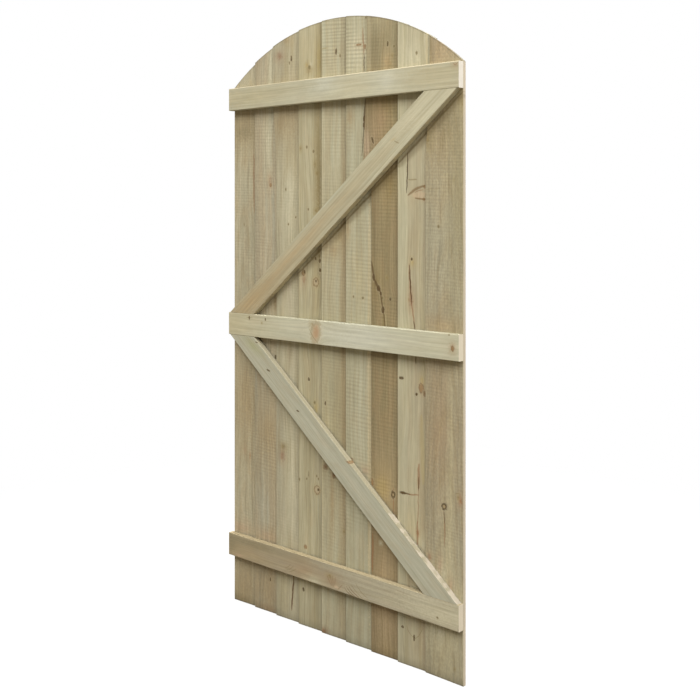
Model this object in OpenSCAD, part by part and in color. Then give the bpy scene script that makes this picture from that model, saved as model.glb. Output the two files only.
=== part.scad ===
// Arched garden gate of featheredge boards on three ledges and two braces.
// Millimetres. +Z is up and -Y looks at the ledges. The origin lies under the
// middle of the gate, halfway through its thickness.

/* [Gate] */
// Overall width, which is the length of the ledges
gate_w = 900; // [820:1:990]
// Height of the crown of the arch
gate_h = 1800; // [1700:1:2000]
// Rise of the crown above the arch's shoulders, which meet the top of the top ledge
arch_rise = 172; // [80:1:300]

/* [Featheredge boards] */
// Number of boards across the gate
board_count = 9; // [8:1:10]
// Width of one board
board_w = 125; // [112:0.5:138]
// Thickness of a board at its thin edge
thin_edge = 4; // [3:0.1:6]
// Thickness of a board at its thick edge
thick_edge = 11; // [8:0.1:14]
// Length of ledge left bare beside the first board's thin edge
ledge_overrun = 4; // [0:0.5:12]

/* [Ledges and braces] */
// Width of a ledge, up the gate
ledge_w = 70; // [60:0.5:90]
// Thickness of the ledges and braces
rail_t = 20; // [16:0.5:32]
// Height of the bottom ledge's lower edge
bottom_ledge_z = 147; // [80:1:220]
// Height of the middle ledge's lower edge
middle_ledge_z = 848; // [760:1:940]
// Width of a brace, across its length
brace_w = 70; // [50:0.5:90]
// How far a brace's tip stops short of the ledge's end
brace_inset = 5; // [0:0.5:30]
// Radius of the eased long edges of the ledges and braces
arris_r = 2; // [0.5:0.1:4]

/* [Nails] */
// Diameter of a nail's shank
nail_d = 2.65; // [2:0.05:3.35]
// Diameter of a nail's head
head_d = 6.5; // [5:0.1:8]
// Thickness of a nail's head
head_t = 1; // [0.6:0.1:1.6]
// How far the middle of a nail's head stands out of the board's face
head_proud = 0.4; // [0.1:0.05:0.6]
// Length of a nail's tapered point
point_len = 4; // [2:0.5:6]
// Diameter of the blunt end of the point
point_d = 0.6; // [0.4:0.1:1]
// Wood left behind the point of the deepest nail
nail_cover = 2.9; // [1.5:0.1:6]
// Distance from a nail to the thin edge of the board lapped behind it
nail_margin = 16; // [10:0.5:20]
// Sideways step between the two nails of a ledge crossing
nail_step = 18; // [10:0.5:24]
// Height between the two nails of a ledge crossing
nail_rise = 36; // [20:0.5:44]
// Height kept clear of nails at each end of a brace
brace_end_clear = 45; // [30:1:80]

/* [Fits] */
// Gap left where boards lap and where braces butt against ledges
joint_gap = 0.1; // [0.05:0.05:0.3]
// Gap round a nail in its hole
nail_gap = 0.05; // [0.02:0.01:0.1]

/* [Hidden] */
$fn = 96;

// The boards: even cover, and the lap that is left of each width
cover = (gate_w - ledge_overrun - board_w) / (board_count - 1);
first_board_x = ledge_overrun - gate_w / 2;
taper = (thick_edge - thin_edge) / board_w;
function board_x(i) = first_board_x + (i - 1) * cover;

// The last board lies flat on the ledges. Each earlier one has its thin edge on
// the ledges and its thick edge on the next board's face, which tilts it.
function tilt_over(t) =
    t + atan(taper)
    + asin((thin_edge + joint_gap - cover * (taper * cos(t) + sin(t))) / (board_w * norm([1, taper])));
function tilt(i) = i == board_count ? 0 : tilt_over(tilt(i + 1));

// Depth of board i's face above the ledges, at a place x across the gate
function face_slope(i) = tan(tilt(i) + atan(taper));
function face_at(i, x) =
    thin_edge * cos(tilt(i)) + (x - board_x(i) + thin_edge * sin(tilt(i))) * face_slope(i);

// Thickness of the boarding, and the plane where boards and ledges meet
panel_t = max([for (i = [1 : board_count]) board_w * sin(tilt(i)) + thick_edge * cos(tilt(i))]);
seat_y = (rail_t - panel_t) / 2;

// The arch: one circle through both shoulders and the crown
shoulder_h = gate_h - arch_rise;
arch_r = (gate_w * gate_w / 4 + arch_rise * arch_rise) / (2 * arch_rise);

// Board length that the saw takes off above the crown, and how far its cut runs past
saw_waste = 30;

// The ledges, and the two bays that the braces fill
top_ledge_z = shoulder_h - ledge_w;
upper_bay = [middle_ledge_z + ledge_w + joint_gap, top_ledge_z - joint_gap];
lower_bay = [bottom_ledge_z + ledge_w + joint_gap, middle_ledge_z - joint_gap];
function bay_h(bay) = bay[1] - bay[0];
function bay_mid(bay) = (bay[0] + bay[1]) / 2;

// A brace's slope, at which its level end cuts reach from tip to tip
brace_run = gate_w - 2 * brace_inset;
function brace_slope(bay) =
    atan2(bay_h(bay), brace_run) + asin(brace_w / norm([brace_run, bay_h(bay)]));

// Nail places [board, x, z]. Each nail passes one board alone, clear of both laps.
function outer_nail_x(i) = board_x(i) + cover - nail_margin;
function ledge_nail_places(ledge_z, boards) = [
    for (i = boards, side = [0, 1])
        [i, outer_nail_x(i) - side * nail_step, ledge_z + ledge_w / 2 + (side - 0.5) * nail_rise]
];
function brace_nail_x(i) = outer_nail_x(i) - nail_step / 2;
function brace_nail_places(bay, rise, boards) = [
    for (i = boards)
        let (climb = rise * brace_nail_x(i) * tan(brace_slope(bay)))
            if (abs(climb) < bay_h(bay) / 2 - brace_end_clear)
                [i, brace_nail_x(i), bay_mid(bay) + climb]
];
all_boards = [for (i = [1 : board_count]) i];
function nail_places(boards) = concat(
    ledge_nail_places(top_ledge_z, boards),
    ledge_nail_places(middle_ledge_z, boards),
    ledge_nail_places(bottom_ledge_z, boards),
    brace_nail_places(upper_bay, 1, boards),
    brace_nail_places(lower_bay, -1, boards)
);

// One nail length for all: the deepest nail stops nail_cover short of the rail's face
function head_top(place) = face_at(place[0], place[1]) + head_proud;
nail_len = rail_t - nail_cover + min([for (place = nail_places(all_boards)) head_top(place)]);

board_colours = ["#a9987a", "#b0a383", "#ab9c79", "#b1a67f", "#b3a888", "#9c8763"];
ledge_colour = "#b9b08c";
brace_colour = "#bcb38f";
nail_colour = "#9a9c9b";

// Planed timber with eased long edges, centred on X, from the seat plane back to -Y
module planed_bar(length, width) {
    rotate([90, 0, 90])
        translate([seat_y - rail_t, -width / 2, -length / 2])
            linear_extrude(length) {
                translate([arris_r, 0])
                    square([rail_t - 2 * arris_r, width]);
                translate([0, arris_r])
                    square([rail_t, width - 2 * arris_r]);
                for (y = [arris_r, rail_t - arris_r], z = [arris_r, width - arris_r])
                    translate([y, z])
                        circle(arris_r);
            }
}

// A nail from its head at z = 0 to its point, grown by a gap and lengthened above the head
module nail_form(gap, above) {
    rotate_extrude()
        polygon([
            [0, -above],
            [head_d / 2 + gap, -above],
            [head_d / 2 + gap, head_t],
            [nail_d / 2 + gap, head_t],
            [nail_d / 2 + gap, nail_len - point_len],
            [point_d / 2 + gap, nail_len + gap],
            [0, nail_len + gap]
        ]);
}

// Nails, or the holes for them, at a list of places, driven along -Y
module at_nails(places, gap = 0, above = 0) {
    for (place = places)
        translate([place[1], seat_y + head_top(place), place[2]])
            rotate([90, 0, 0])
                nail_form(gap, above);
}

module nail_holes(places) {
    at_nails(places, nail_gap, thick_edge);
}

// What the saw takes off above the arch
module arch_waste() {
    difference() {
        translate([-gate_w, -gate_w / 2, shoulder_h - saw_waste])
            cube([2 * gate_w, gate_w, arch_rise + 3 * saw_waste]);
        translate([0, gate_w, gate_h - arch_r])
            rotate([90, 0, 0])
                cylinder(r = arch_r, h = 2 * gate_w);
    }
}

module board(i) {
    color(board_colours[(i - 1) % len(board_colours)])
        difference() {
            translate([board_x(i), seat_y, 0])
                rotate([0, 0, tilt(i)])
                    linear_extrude(gate_h + saw_waste)
                        polygon([[0, 0], [board_w, 0], [board_w, thick_edge], [0, thin_edge]]);
            arch_waste();
            nail_holes(nail_places([i]));
        }
}

module ledge(ledge_z) {
    color(ledge_colour)
        difference() {
            translate([0, 0, ledge_z + ledge_w / 2])
                planed_bar(gate_w, ledge_w);
            nail_holes(ledge_nail_places(ledge_z, all_boards));
        }
}

// rise is 1 for a brace that climbs towards +X and -1 for one that falls
module brace(bay, rise) {
    color(brace_colour)
        difference() {
            intersection() {
                translate([0, 0, bay_mid(bay)])
                    rotate([0, -rise * brace_slope(bay), 0])
                        planed_bar(norm([gate_w, bay_h(bay)]) + 2 * brace_w, brace_w);
                translate([-gate_w, -gate_w / 2, bay[0]])
                    cube([2 * gate_w, gate_w, bay_h(bay)]);
            }
            nail_holes(brace_nail_places(bay, rise, all_boards));
        }
}

module nails(places) {
    color(nail_colour)
        at_nails(places);
}

for (i = all_boards)
    board(i);
ledge(top_ledge_z);  // top_ledge
ledge(middle_ledge_z);  // middle_ledge
ledge(bottom_ledge_z);  // bottom_ledge
brace(upper_bay, 1);  // upper_brace
brace(lower_bay, -1);  // lower_brace
nails(ledge_nail_places(top_ledge_z, all_boards));  // top_ledge_nails
nails(ledge_nail_places(middle_ledge_z, all_boards));  // middle_ledge_nails
nails(ledge_nail_places(bottom_ledge_z, all_boards));  // bottom_ledge_nails
nails(brace_nail_places(upper_bay, 1, all_boards));  // upper_brace_nails
nails(brace_nail_places(lower_bay, -1, all_boards));  // lower_brace_nails
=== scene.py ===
# %% [markdown]
# # An arched featheredge gate
# A garden gate of pressure-treated softwood: nine sawn boards, three ledges, two braces and their nails.
# The sizes are already settled in the imported model, so this lesson only adds what the eye sees:
# saw marks, grain, knots, splits and the pale green-brown of treated timber.
# The imported model comes first, and its box is kept and printed, to set beside the dressed gate's box at the
# end.

# %% Load the frame
import math
from functools import partial

import bpy
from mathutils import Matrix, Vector


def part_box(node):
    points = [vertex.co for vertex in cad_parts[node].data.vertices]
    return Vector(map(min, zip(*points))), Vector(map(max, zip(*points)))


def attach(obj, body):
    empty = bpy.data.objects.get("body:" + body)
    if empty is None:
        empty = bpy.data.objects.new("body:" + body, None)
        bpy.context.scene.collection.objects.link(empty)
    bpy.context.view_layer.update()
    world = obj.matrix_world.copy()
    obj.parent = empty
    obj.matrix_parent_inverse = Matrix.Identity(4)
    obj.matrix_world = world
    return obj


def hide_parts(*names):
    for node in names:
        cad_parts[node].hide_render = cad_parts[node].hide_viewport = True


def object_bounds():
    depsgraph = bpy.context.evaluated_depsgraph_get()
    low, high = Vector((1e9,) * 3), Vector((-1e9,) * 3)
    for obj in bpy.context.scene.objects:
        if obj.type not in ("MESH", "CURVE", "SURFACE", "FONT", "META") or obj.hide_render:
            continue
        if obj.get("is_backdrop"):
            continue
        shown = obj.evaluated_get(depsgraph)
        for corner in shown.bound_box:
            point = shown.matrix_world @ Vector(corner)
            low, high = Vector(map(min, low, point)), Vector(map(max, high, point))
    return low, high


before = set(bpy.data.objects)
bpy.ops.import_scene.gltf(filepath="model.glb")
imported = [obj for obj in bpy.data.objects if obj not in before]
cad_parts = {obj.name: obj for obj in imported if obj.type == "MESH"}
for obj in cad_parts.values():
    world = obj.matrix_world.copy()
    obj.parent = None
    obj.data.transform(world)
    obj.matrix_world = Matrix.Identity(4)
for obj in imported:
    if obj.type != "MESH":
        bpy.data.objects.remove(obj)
cad_low, cad_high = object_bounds()
MM = 0.001
print("gate box in mm", [round(side / MM, 1) for side in cad_high - cad_low])

# %% [markdown]
# ## The camera
# The gate is seen from its ledged side, from the right, with the camera held level at chest height.
# A level camera keeps every upright line upright, so the frame is lowered with the lens shift
# and not by tilting: tilting would make the boards lean together.

# %% Camera
CAMERA_PLACE = (2.0078, -2.1553, 1.2331)
CAMERA_TURN = 42.212
LENS_LENGTH = 52.245
LENS_SHIFT = -0.1958
SENSOR_WIDTH = 36
camera_lens = bpy.data.cameras.new("camera")
camera_lens.lens = LENS_LENGTH
camera_lens.sensor_width = SENSOR_WIDTH
camera_lens.shift_y = LENS_SHIFT
camera = bpy.data.objects.new("camera", camera_lens)
camera.location = CAMERA_PLACE
camera.rotation_euler = (math.radians(90), 0, math.radians(CAMERA_TURN))
bpy.context.scene.collection.objects.link(camera)
bpy.context.scene.camera = camera
bpy.context.scene.view_settings.view_transform = "Standard"
print("camera at", tuple(camera.location), "turned", CAMERA_TURN)

# %% [markdown]
# ## Helpers
# Colours are written as the hex values that a paint chart uses, and shaders work in linear light.
# One function turns one into the other.
# A second function adds a node to a tree, sets its properties and fills its inputs:
# an input that is given a socket is linked, and any other value is set on the input itself.
# Inputs are given by name, or as a list in the node's own order.
# The kinds of node and the setting that come up most get short names,
# and one more function gives a Map Range node the two values that it starts and ends at.
# The last function starts a tree with named inputs. Where a tree gets many nodes,
# partial ties the adding function to that tree under the short name put.

# %% Helpers
MATH = "ShaderNodeMath"
VECTOR_MATH = "ShaderNodeVectorMath"
MAP_RANGE = "ShaderNodeMapRange"
MIX = "ShaderNodeMix"
NOISE = "ShaderNodeTexNoise"
COMBINE = "ShaderNodeCombineXYZ"
SEPARATE = "ShaderNodeSeparateXYZ"
SMOOTH = dict(interpolation_type="SMOOTHSTEP")


def linear(code):
    """The linear colour of an sRGB hex value such as #b4a683."""
    shares = [int(code[i:i + 2], 16) / 255 for i in (1, 3, 5)]
    light = [c / 12.92 if c <= 0.04045 else ((c + 0.055) / 1.055) ** 2.4 for c in shares]
    return (*light, 1.0)


def add(tree, kind, inputs=(), operation=None, **settings):
    """Adds one node with its settings and inputs, and returns its first output."""
    node = tree.nodes.new(kind)
    if operation:
        node.operation = operation
    for name, value in settings.items():
        setattr(node, name, value)
    named = inputs if isinstance(inputs, dict) else dict(enumerate(inputs))
    for key, value in named.items():
        shown = [s for s in node.inputs if s.enabled]
        socket = shown[key] if isinstance(key, int) else next(s for s in shown if s.name == key)
        if isinstance(value, bpy.types.NodeSocket):
            tree.links.new(value, socket)
        else:
            socket.default_value = value
    return next((s for s in node.outputs if s.enabled), None)


def between(levels):
    """The two inputs that tell a Map Range node where to start and where to end."""
    return {"From Min": levels[0], "From Max": levels[1]}


def begin(name, kind, inputs, output):
    """A new node tree with named inputs and one output; returns the tree and its input sockets."""
    tree = bpy.data.node_groups.new(name, kind)
    for label, socket in inputs.items():
        tree.interface.new_socket(label, in_out="INPUT", socket_type=socket)
    tree.interface.new_socket(output[0], in_out="OUTPUT", socket_type=output[1])
    return tree, add(tree, "NodeGroupInput").node.outputs


print("white is", linear("#ffffff"))

# %% [markdown]
# ## The studio
# A product picture of this kind has a white ground and soft light from above.
# The world gives a weak warm fill, as timber and paper throw on each other,
# and the camera sees it as plain white.
# The floor is white too: seen by the camera it is mostly its own white,
# so that only a faint shadow stays near the gate.
# For the light that it throws back it is grey, because a white floor would fill the shadows under the ledges.
# Three large lamps do the modelling, and they stand far off,
# so that the foot of the gate gets as much as its top.
# The key hangs high in front and draws the shadows under the ledges.
# The one on the right grazes the boards, darkens each lap and brightens the cut ends that face that way.
# The third stands behind, for the side that the boards show to the street.

# %% World, floor and lamps
FILL = 0.22
FLOOR_HALF = 20.0
FLOOR_SHADOW = 0.14
SHADOW_REACH = (2.2, 0.9)


def seen_directly(tree):
    """1 on rays that show the background itself: from the camera, in a gloss or through glass."""
    path = add(tree, "ShaderNodeLightPath").node.outputs
    shiny = add(tree, MATH, [path["Is Camera Ray"], path["Is Glossy Ray"]], "MAXIMUM")
    return add(tree, MATH, [shiny, path["Is Transmission Ray"]], "MAXIMUM")


world = bpy.data.worlds.new("studio")
world.use_nodes = True
sky = world.node_tree
sky.nodes.clear()
fill = add(sky, "ShaderNodeBackground", {"Color": linear("#fff3e4"), "Strength": FILL})
white = add(sky, "ShaderNodeBackground", {"Color": linear("#ffffff"), "Strength": 1.0})
ground = add(sky, "ShaderNodeMixShader", [seen_directly(sky), fill, white])
add(sky, "ShaderNodeOutputWorld", {"Surface": ground})
bpy.context.scene.world = world

paper = bpy.data.materials.new("white studio paper")
paper.use_nodes = True
sheet = paper.node_tree
sheet.nodes.clear()
grey = add(sheet, "ShaderNodeBsdfDiffuse", {"Color": linear("#8a8172")})
matt = add(sheet, "ShaderNodeBsdfDiffuse", {"Color": linear("#fcfcfa")})
glow = add(sheet, "ShaderNodeEmission", {"Color": linear("#ffffff"), "Strength": 1.0})
spot = add(sheet, "ShaderNodeTexCoord").node.outputs["Object"]
away = add(sheet, VECTOR_MATH, [spot], "LENGTH")
near = add(sheet, MAP_RANGE, {"Value": away, **between(SHADOW_REACH), "To Max": FLOOR_SHADOW}, **SMOOTH)
shown = add(sheet, "ShaderNodeMixShader", [near, glow, matt])
lit = add(sheet, "ShaderNodeMixShader", [seen_directly(sheet), grey, shown])
add(sheet, "ShaderNodeOutputMaterial", {"Surface": lit})

floor_mesh = bpy.data.meshes.new("floor")
corners = [(x * FLOOR_HALF, y * FLOOR_HALF, 0) for x, y in ((-1, -1), (1, -1), (1, 1), (-1, 1))]
floor_mesh.from_pydata(corners, [], [(0, 1, 2, 3)])
floor_mesh.materials.append(paper)
floor = bpy.data.objects.new("floor", floor_mesh)
bpy.context.scene.collection.objects.link(floor)
floor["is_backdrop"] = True

GATE_MIDDLE = Vector((0.0, 0.0, 0.9))


def softbox(name, place, size, power):
    """A square lamp at a place, facing the middle of the gate."""
    lamp = bpy.data.lights.new(name, "AREA")
    lamp.size = size
    lamp.energy = power
    holder = bpy.data.objects.new(name, lamp)
    holder.location = place
    holder.rotation_euler = (GATE_MIDDLE - Vector(place)).to_track_quat("-Z", "Y").to_euler()
    bpy.context.scene.collection.objects.link(holder)
    return holder


lamps = [softbox("key softbox", (1.6, -6.6, 9.5), 6.6, 1250),
         softbox("side softbox", (4.7, -1.4, 4.3), 2.5, 215),
         softbox("rear softbox", (-3.0, 6.5, 7.0), 5.0, 1000)]
print("lamps", [lamp.name for lamp in lamps])

# %% [markdown]
# ## Knots, splits and streaks
# A knot is a branch cut across. The fibres of the trunk part and flow round it, as water flows round a post,
# and that flow has a simple formula: a line at distance y from the post's middle
# runs where y(1 - 1/r²) is constant, with r the distance in post radii.
# One node group bends the grain this way, and a second paints the knot itself:
# a heart with its own mottle, a dark rim and a tinted halo, each with a slightly ragged outline.
# A third group paints a streak, a line from one place to another that bows, wavers and tapers at both ends:
# a dark one along the fibres is a split, and one across them is a branch that was cut along its length.
# Each is used many times, so each is a group with the mark's place and size as its inputs.
# Inside a group, the edges of heart, halo, rim and streak are counted in radii of the mark,
# from the outer end inwards.

# %% Node groups for marks in the wood
THROUGH = 100000.0
BEND = -0.9
RAGGED_SCALE = 0.16
UNEVEN = (0.8, 0.5)
HEART_EDGE = 1.1
HALO_EDGE = (2.2, 0.9)
RIM_RADIUS = 0.92
RIM_EDGE = (0.32, 0.04)
WAVER_SCALE = 0.04
WAVER_MM = 7.0
FULL_BOW = 4.0
TAPER = 0.4
THINNEST_MM = 0.001
STREAK_EDGE = (1.2, 0.3)

VECTOR = "NodeSocketVector"
FLOAT = "NodeSocketFloat"
COLOUR = "NodeSocketColor"

bend_round, given = begin(
    "grain bends round a knot", "ShaderNodeTree",
    {"Grain": VECTOR, "Centre": VECTOR, "Reach": VECTOR}, ("Grain", VECTOR))
put = partial(add, bend_round)
off = put(VECTOR_MATH, [given["Grain"], given["Centre"]], "SUBTRACT")
radii = put(VECTOR_MATH, [off, given["Reach"]], "DIVIDE")
square = put(VECTOR_MATH, [radii, radii], "DOT_PRODUCT")
outside = put(MATH, [square, 1.0], "MAXIMUM")
pull = put(MATH, [BEND, outside], "DIVIDE")
sideways = put(VECTOR_MATH, [off, (0, 1, 0)], "MULTIPLY")
shift = put(VECTOR_MATH, {0: sideways, "Scale": pull}, "SCALE")
bent = put(VECTOR_MATH, [given["Grain"], shift], "ADD")
put("NodeGroupOutput", {"Grain": bent})

paint_knot, given = begin(
    "knot", "ShaderNodeTree",
    {"Colour": COLOUR, "Grain": VECTOR, "Centre": VECTOR, "Reach": VECTOR, "Turn": FLOAT, "Heart": COLOUR,
     "Rim": COLOUR, "Halo": COLOUR, "Heart strength": FLOAT, "Rim strength": FLOAT, "Halo strength": FLOAT,
     "Softness": FLOAT}, ("Colour", COLOUR))
put = partial(add, paint_knot)
off = put(VECTOR_MATH, [given["Grain"], given["Centre"]], "SUBTRACT")
turned = put("ShaderNodeVectorRotate", {"Vector": off, "Angle": given["Turn"]}, rotation_type="Z_AXIS")
radii = put(VECTOR_MATH, [turned, given["Reach"]], "DIVIDE")
noise = put(NOISE, {"Vector": given["Grain"], "Scale": RAGGED_SCALE, "Detail": 2.0})
ragged = put(VECTOR_MATH, [noise.node.outputs["Color"], (0.5, 0.5, 0.5)], "SUBTRACT")
ragged = put(VECTOR_MATH, [ragged, (1.0, 1.0, 0.0)], "MULTIPLY")
radii = put(VECTOR_MATH, [radii, ragged], "ADD")
radius = put(VECTOR_MATH, [radii], "LENGTH")
inner = put(MATH, [1.0, given["Softness"]], "SUBTRACT")
heart = put(MAP_RANGE, {"Value": radius, "From Min": HEART_EDGE, "From Max": inner}, **SMOOTH)
uneven = put(MATH, [noise, UNEVEN[0], UNEVEN[1]], "MULTIPLY_ADD")
halo = put(MAP_RANGE, {"Value": radius, **between(HALO_EDGE)}, **SMOOTH)
near = put(MATH, [radius, RIM_RADIUS], "SUBTRACT")
near = put(MATH, [near], "ABSOLUTE")
rim = put(MAP_RANGE, {"Value": near, **between(RIM_EDGE)}, **SMOOTH)
colour = given["Colour"]
for tint, amount in (("Halo", halo), ("Heart", heart), ("Rim", rim)):
    amount = put(MATH, [amount, given[tint + " strength"]], "MULTIPLY")
    amount = put(MATH, [amount, uneven], "MULTIPLY")
    colour = put(MIX, {"Factor": amount, "A": colour, "B": given[tint]}, data_type="RGBA")
put("NodeGroupOutput", {"Colour": colour})

paint_streak, given = begin(
    "streak", "ShaderNodeTree",
    {"Colour": COLOUR, "Grain": VECTOR, "Start": VECTOR, "Span": VECTOR, "Bow": FLOAT, "Width": FLOAT,
     "Tint": COLOUR, "Strength": FLOAT}, ("Colour", COLOUR))
put = partial(add, paint_streak)
off = put(VECTOR_MATH, [given["Grain"], given["Start"]], "SUBTRACT")
off = put(VECTOR_MATH, [off, (1, 1, 0)], "MULTIPLY")
along = put(VECTOR_MATH, [off, given["Span"]], "DOT_PRODUCT")
square = put(VECTOR_MATH, [given["Span"], given["Span"]], "DOT_PRODUCT")
along = put(MATH, [along, square], "DIVIDE")
length = put(MATH, [square], "SQRT")
side = put(VECTOR_MATH, [off, given["Span"]], "CROSS_PRODUCT")
side = put(SEPARATE, [side]).node.outputs["Z"]
side = put(MATH, [side, length], "DIVIDE")
rest = put(MATH, [1.0, along], "SUBTRACT")
swell = put(MATH, [along, rest], "MULTIPLY")
swell = put(MATH, [swell, 0.0], "MAXIMUM")
waver = put(NOISE, {"Vector": given["Grain"], "Scale": WAVER_SCALE, "Detail": 3.0})
waver = put(MATH, [waver, WAVER_MM, -WAVER_MM / 2], "MULTIPLY_ADD")
bow = put(MATH, [given["Bow"], FULL_BOW], "MULTIPLY")
line = put(MATH, [swell, bow, waver], "MULTIPLY_ADD")
apart = put(MATH, [side, line], "SUBTRACT")
apart = put(MATH, [apart], "ABSOLUTE")
taper = put(MATH, [swell, TAPER], "POWER")
half = put(MATH, [taper, given["Width"], THINNEST_MM], "MULTIPLY_ADD")
apart = put(MATH, [apart, half], "DIVIDE")
amount = put(MAP_RANGE, {"Value": apart, **between(STREAK_EDGE), "To Max": given["Strength"]}, **SMOOTH)
colour = put(MIX, {"Factor": amount, "A": given["Colour"], "B": given["Tint"]}, data_type="RGBA")
put("NodeGroupOutput", {"Colour": colour})
print("node groups", [group.name for group in (bend_round, paint_knot, paint_streak)])

# %% [markdown]
# A few kinds of mark are enough for the whole gate.
# A dead knot is dark and sharp, a live one is brown and warm, a pin knot is small and olive.
# The kinds without a rim are stains: a blush of resin, a shade, moss green, tan or cream.
# A shade stain also serves as painted shade at a few places under the ledges and the upper brace.
# A streak's kind is its tint and how strongly it covers.

# %% Kinds of mark
KNOT_KINDS = {
    "dead": dict(heart="#524126", rim="#43341f", halo="#b0a383", strengths=(0.95, 0.7, 0.30), softness=0.40),
    "pin": dict(heart="#6f6340", rim="#6d6040", halo="#b0a484", strengths=(0.9, 0.4, 0.25), softness=0.60),
    "live": dict(heart="#8d6f4b", rim="#6a5238", halo="#ae9a75", strengths=(0.85, 0.6, 0.35), softness=0.45),
    "brown": dict(heart="#70563a", rim="#5c4830", halo="#a08b69", strengths=(0.9, 0.5, 0.35), softness=0.60),
    "core": dict(heart="#ab9872", rim="#66523a", halo="#ab9872", strengths=(0.85, 0.3, 0.0), softness=0.35),
    "eye": dict(heart="#b1a081", rim="#7d6847", halo="#a5966f", strengths=(0.65, 0.75, 0.4), softness=0.35),
    "oval": dict(heart="#b1906b", rim="#958664", halo="#bdb496", strengths=(0.75, 0.45, 0.3), softness=0.75),
    "blush": dict(heart="#b0957a", halo="#b09b7c", strengths=(0.55, 0.0, 0.3), softness=0.95),
    "flesh": dict(heart="#bda88a", halo="#b3a281", strengths=(0.85, 0.0, 0.2), softness=0.60),
    "rust": dict(heart="#8f6c4a", halo="#a5896a", strengths=(0.8, 0.0, 0.3), softness=0.80),
    "russet": dict(heart="#92745a", halo="#a48e70", strengths=(0.85, 0.0, 0.35), softness=0.95),
    "clay": dict(heart="#a08767", halo="#9c8665", strengths=(0.5, 0.0, 0.3), softness=1.0),
    "fawn": dict(heart="#ab9775", halo="#a08c6b", strengths=(0.7, 0.0, 0.4), softness=1.0),
    "dusk": dict(heart="#928969", halo="#9b9273", strengths=(0.6, 0.0, 0.4), softness=1.0),
    "amber": dict(heart="#b2966c", halo="#b09c76", strengths=(0.36, 0.0, 0.3), softness=1.0),
    "shade": dict(heart="#86754d", halo="#98895f", strengths=(0.75, 0.0, 0.3), softness=0.95),
    "mould": dict(heart="#847a5e", halo="#938869", strengths=(0.75, 0.0, 0.3), softness=1.0),
    "gold": dict(heart="#ad985c", halo="#a8966a", strengths=(0.6, 0.0, 0.3), softness=1.0),
    "moss": dict(heart="#a3a37c", halo="#a4a27c", strengths=(0.7, 0.0, 0.4), softness=0.95),
    "tan": dict(heart="#9c8a68", halo="#a29270", strengths=(0.75, 0.0, 0.4), softness=1.0),
    "straw": dict(heart="#b3a885", halo="#b3aa8a", strengths=(0.6, 0.0, 0.3), softness=1.0),
    "cream": dict(heart="#bfb99d", halo="#b9b294", strengths=(0.75, 0.0, 0.4), softness=1.0),
    "frost": dict(heart="#c6c6b5", halo="#bfbfab", strengths=(0.7, 0.0, 0.4), softness=1.0),
    "sap": dict(heart="#bcb08e", halo="#b0a07c", strengths=(0.95, 0.0, 0.0), softness=0.25),
}
STREAK_KINDS = {
    "split": ("#45341e", 0.88),
    "bark": ("#57442a", 0.80),
    "rust": ("#8a6443", 0.65),
    "branch": ("#77603f", 0.75),
    "olive": ("#7f724b", 0.60),
    "gold": ("#ad9c6a", 0.38),
    "fan": ("#86694a", 0.60),
    "pale": ("#b5a682", 0.55),
    "cream": ("#c6ba96", 0.65),
    # Painted highlight for a lit top edge.
    "chalk": ("#bfb5a4", 0.75),
    # Painted shadow under the upper brace: a dark line and a fainter, wider band.
    "damp": ("#6b5c3c", 0.6),
    "dim": ("#6b5c3c", 0.34),
}
print("kinds of mark", len(KNOT_KINDS) + len(STREAK_KINDS))

# %% [markdown]
# ## Treated softwood
# The timber is spruce or pine, sawn and then soaked under pressure in a green preservative.
# The eye gets a pale straw brown with a grey-green cast in bands along the board, faint late-wood lines,
# no gloss, and on a sawn face the light and dark bars that the saw's teeth leave
# and short pale flecks of torn fibre.
# Each piece carries its own "grain" attribute, the distance along, across and into the board in millimetres,
# so the pattern is a solid one: it runs round the edges and shows growth rings on the cut ends.
# The late wood is a set of cylinders about the pith. Real rings are 2 to 4 mm wide and fibres far finer;
# both are drawn coarser here, because finer ones are lost at this size of picture. So are the flecks.

# %% Painting helpers
LATE_SHARES = (0.18, 0.5)


def stretched(tree, vector, lengths, detail):
    """A noise with one size along the grain and others across and into it, in millimetres."""
    scaled = add(tree, VECTOR_MATH, [vector, lengths], "DIVIDE")
    return add(tree, NOISE, {"Vector": scaled, "Scale": 1.0, "Detail": detail})


def shaded(tree, colour, value, low, high, first, last, curve="LINEAR"):
    """The colour, darkened or lightened as a value runs from low to high."""
    level = add(tree, MAP_RANGE, {"Value": value, "From Min": low, "From Max": high, "To Min": first,
                                  "To Max": last}, interpolation_type=curve)
    return add(tree, VECTOR_MATH, {0: colour, "Scale": level}, "SCALE")


def tinted(tree, colour, tint, value, low, high, strength, curve="LINEAR"):
    """The colour, mixed towards a tint as a value runs from low to high."""
    amount = add(tree, MAP_RANGE, {"Value": value, "From Min": low, "From Max": high, "To Max": strength},
                 interpolation_type=curve)
    return add(tree, MIX, {"Factor": amount, "A": colour, "B": linear(tint)}, data_type="RGBA")


def marked(tree, colour, grain, knots, streaks=()):
    """The colour with lists of knots or stains and of streaks painted on it."""
    for up, across, tall, wide, kind, *turn in knots:
        look = KNOT_KINDS[kind]
        heart_strength, rim_strength, halo_strength = look["strengths"]
        colour = add(tree, "ShaderNodeGroup", {
            "Colour": colour, "Grain": grain, "Centre": (up, across, 0), "Reach": (tall, wide, THROUGH),
            "Turn": math.radians(sum(turn)), "Heart": linear(look["heart"]),
            "Rim": linear(look.get("rim", look["heart"])), "Halo": linear(look["halo"]),
            "Heart strength": heart_strength, "Rim strength": rim_strength, "Halo strength": halo_strength,
            "Softness": look["softness"]}, node_tree=paint_knot)
    for up, across, last_up, last_across, width, kind, *bow in streaks:
        tint, strength = STREAK_KINDS[kind]
        colour = add(tree, "ShaderNodeGroup", {
            "Colour": colour, "Grain": grain, "Start": (up, across, 0),
            "Span": (last_up - up, last_across - across, 0), "Bow": float(sum(bow)), "Width": width,
            "Tint": linear(tint), "Strength": strength}, node_tree=paint_streak)
    return colour


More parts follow.
